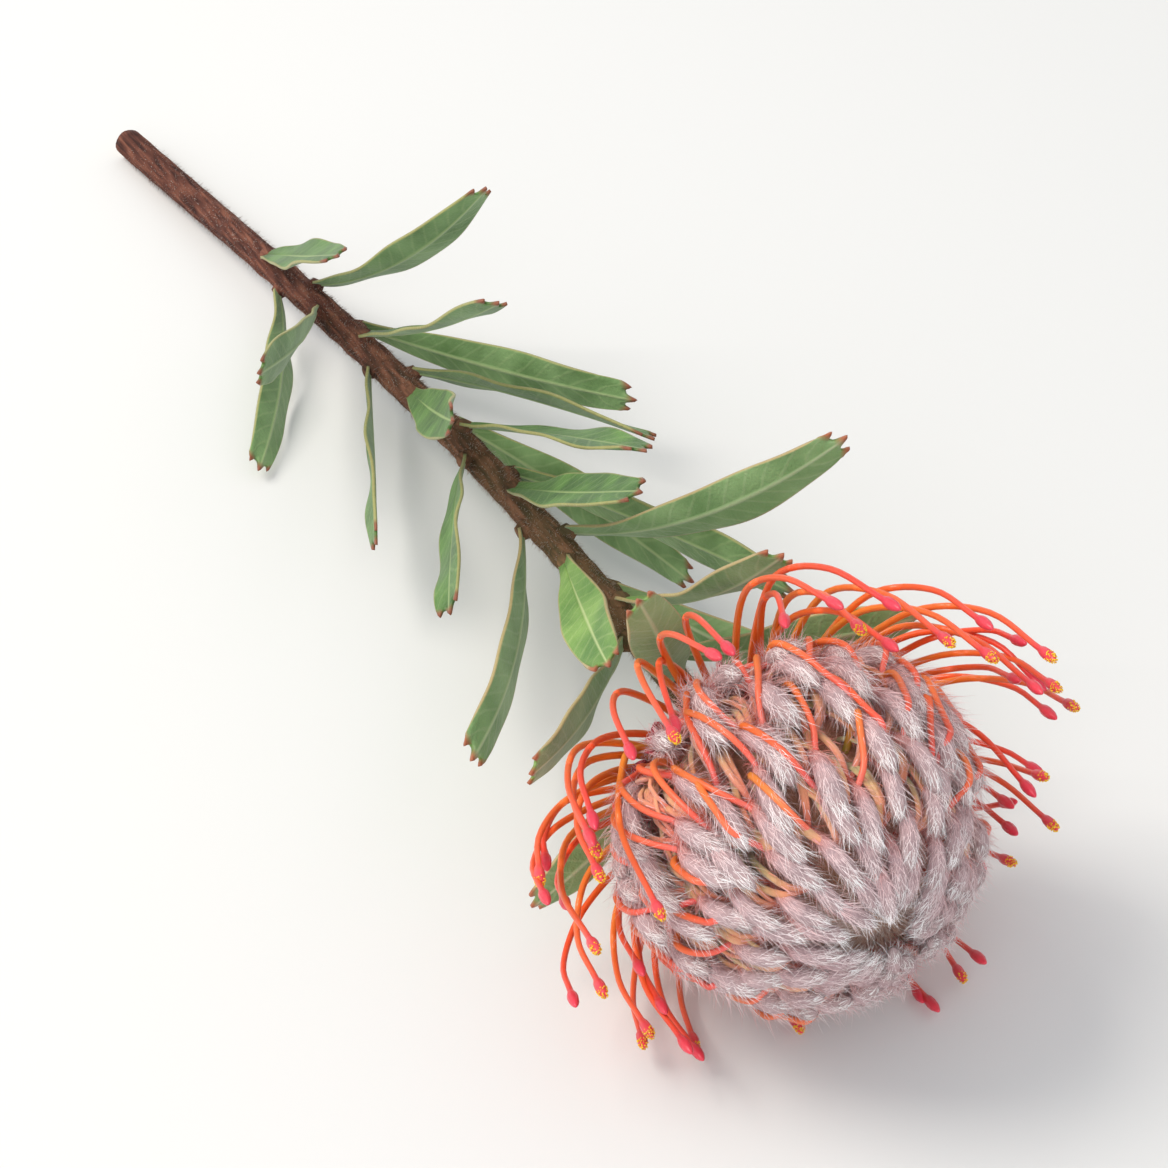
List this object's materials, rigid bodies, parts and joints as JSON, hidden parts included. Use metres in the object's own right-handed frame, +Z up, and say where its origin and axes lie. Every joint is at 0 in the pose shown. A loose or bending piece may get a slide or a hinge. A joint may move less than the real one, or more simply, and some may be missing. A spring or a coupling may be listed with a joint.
{
  "type": "tango pincushion protea",
  "caption": "Cut pincushion protea stem lying on its side: leafy woody shoot with a dome of silky mauve buds ringed by coral style loops and released pins.",
  "frame": {"origin": "middle of the part's box, on the surface that the cut stem lies on", "axes": "+X along the shoot towards the crown of the flower, +Y across it, +Z up from the surface"},
  "size_m": [0.4, 0.1184, 0.1048],
  "materials": {
    "stem": "reddish brown bark with short hairs",
    "leaf": "matte leathery green, paler below",
    "involucre": "downy olive brown bracts",
    "silky_perianth": "silvery mauve, long silky hairs",
    "style": "smooth waxy coral orange"
  },
  "bodies": {
    "root": {"stem": "stem", "involucre": "involucre", "silky_buds": "silky_perianth", "styles": "style", "leaf_01": "leaf", "leaf_02": "leaf", "leaf_03": "leaf", "leaf_04": "leaf", "leaf_05": "leaf", "leaf_06": "leaf", "leaf_07": "leaf", "leaf_08": "leaf", "leaf_09": "leaf", "leaf_10": "leaf", "leaf_11": "leaf", "leaf_12": "leaf", "leaf_13": "leaf", "leaf_14": "leaf", "leaf_15": "leaf", "leaf_16": "leaf", "leaf_17": "leaf", "leaf_18": "leaf", "leaf_19": "leaf", "leaf_20": "leaf", "leaf_21": "leaf", "leaf_22": "leaf", "leaf_23": "leaf"}
  },
  "joints": []
}
